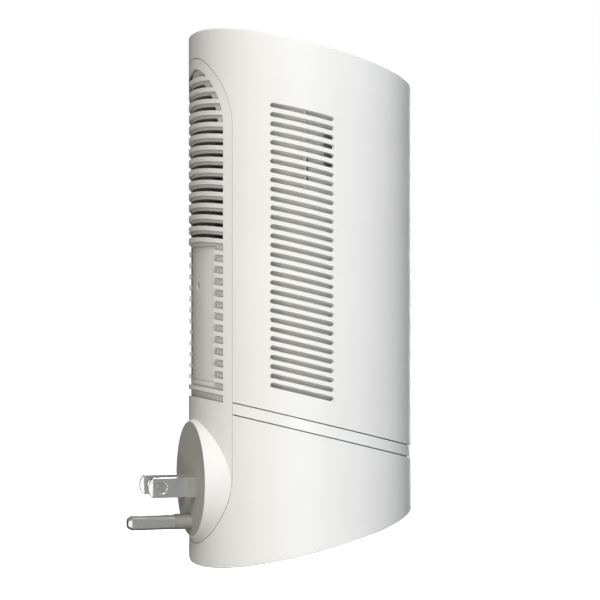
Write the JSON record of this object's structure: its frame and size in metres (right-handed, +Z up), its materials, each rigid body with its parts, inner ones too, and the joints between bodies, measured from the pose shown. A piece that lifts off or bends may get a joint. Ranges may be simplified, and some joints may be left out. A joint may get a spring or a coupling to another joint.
{
  "type": "cable modem",
  "caption": "Tall oval plug-in network unit with a three-prong wall plug on its back, louvred vents and a slanted light ring.",
  "frame": {"origin": "centre of the plug's flat face, which rests against the wall outlet", "axes": "+Z up, +Y out of the plug's face towards the wall, front faces -Y"},
  "size_m": [0.0808, 0.0953, 0.175],
  "materials": {
    "shell_white": "satin moulded",
    "panel_white": "satin moulded",
    "ring_diffuser": "satin, slightly translucent",
    "plug_grey": "matte moulded",
    "sleeve_grey": "matte moulded",
    "blade_metal": "nickel plated, satin",
    "button_white": "satin moulded",
    "switch_black": "matte",
    "switch_metal": "stamped",
    "frame_grey": "matte moulded",
    "board_green": "solder mask",
    "board_white": "white solder mask",
    "sink_aluminium": "die cast",
    "screw_steel": "zinc plated",
    "can_tin": "tin plated",
    "pad_silicone": "soft matte",
    "chip_black": "matte",
    "header_black": "matte",
    "core_ferrite": "pressed ferrite and yellow tape",
    "can_sleeve": "shrink sleeve",
    "fuse_glass": "ceramic",
    "led_lens": "clear",
    "antenna_board": "solder mask with copper",
    "jack_black": "matte moulded",
    "contact_gold": "gold plated",
    "coax_nickel": "nickel plated",
    "insulator_white": "waxy"
  },
  "bodies": {
    "housing": {"upper_shell": "shell_white", "light_ring": "ring_diffuser", "lower_shell": "shell_white", "back_panel": "panel_white", "plug_insert": "plug_grey", "neutral_blade": "blade_metal", "line_blade": "blade_metal", "neutral_sleeve": "sleeve_grey", "line_sleeve": "sleeve_grey", "ground_pin": "blade_metal", "ground_sleeve": "sleeve_grey", "reset_switch": "switch_metal", "pair_switch": "switch_metal", "inner_frame": "frame_grey", "main_board": "board_green", "rear_heat_sink": "sink_aluminium", "front_heat_sink": "sink_aluminium", "sink_screws": "screw_steel", "processor_can": "can_tin", "radio_can": "can_tin", "tuner_can": "can_tin", "thermal_pads": "pad_silicone", "memory_chips": "chip_black", "power_inductors": "chip_black", "board_link": "header_black", "power_board": "board_green", "power_screws": "screw_steel", "transformer": "core_ferrite", "bulk_capacitor": "can_sleeve", "output_capacitor": "can_sleeve", "input_choke": "core_ferrite", "fuse": "fuse_glass", "bridge_rectifier": "chip_black", "led_board": "board_white", "ring_leds": "led_lens", "left_antenna": "antenna_board", "right_antenna": "antenna_board", "front_antenna": "antenna_board", "ethernet_jack": "jack_black", "jack_shield": "can_tin", "jack_contacts": "contact_gold", "coax_connector": "coax_nickel", "coax_insulator": "insulator_white", "coax_washer": "coax_nickel", "coax_nut": "coax_nickel"},
    "reset_key": {"reset_button": "button_white", "reset_plunger": "switch_black"},
    "pair_key": {"pair_button": "button_white", "pair_plunger": "switch_black"}
  },
  "joints": [
    {"name": "reset_press", "type": "slide", "parent": "housing", "child": "reset_key", "axis": [0, -1, 0], "range_m": [0, 0.0005], "stiffness_N_per_m": 2000},
    {"name": "pair_press", "type": "slide", "parent": "housing", "child": "pair_key", "axis": [0, 0, 1], "range_m": [0, 0.0006], "stiffness_N_per_m": 2000}
  ]
}
